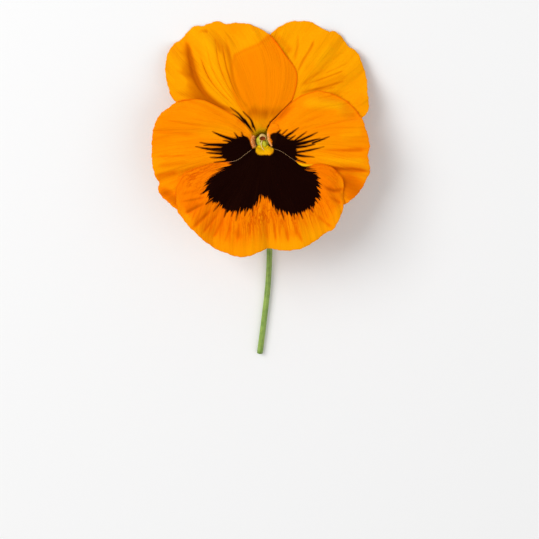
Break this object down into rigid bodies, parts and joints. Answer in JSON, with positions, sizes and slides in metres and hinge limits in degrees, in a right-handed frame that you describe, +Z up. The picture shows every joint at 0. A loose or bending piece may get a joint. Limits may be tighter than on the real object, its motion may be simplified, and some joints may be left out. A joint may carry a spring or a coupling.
{
  "type": "viola flower",
  "caption": "Cut viola bloom with overlapping orange petals, a dark centre, green sepals, a short hollow spur and a bent leafless stalk, lying face up.",
  "frame": {"origin": "centre of the bounding box at the level of the surface that the bloom lies on", "axes": "+Z up from the surface, +Y from the cut end of the stalk toward the upper petals, +X to the right as the bloom is seen from above"},
  "size_m": [0.0818, 0.1306, 0.0289],
  "materials": {
    "stem": "living green stalk, smooth and slightly glossy",
    "sepal": "green sepal, soft",
    "upper_petal": "velvety golden orange petal",
    "lower_petal": "velvety orange petal",
    "pistil": "moist pale pistil",
    "stamens": "matt yellow anthers"
  },
  "bodies": {
    "root": {"stem": "stem", "sepal_top": "sepal", "sepal_right": "sepal", "sepal_left": "sepal", "sepal_lower_left": "sepal", "sepal_lower_right": "sepal", "upper_petal_left": "upper_petal", "upper_petal_right": "upper_petal", "lateral_petal_left": "lower_petal", "lateral_petal_right": "lower_petal", "lower_petal": "lower_petal", "pistil": "pistil", "stamens": "stamens"}
  },
  "joints": []
}
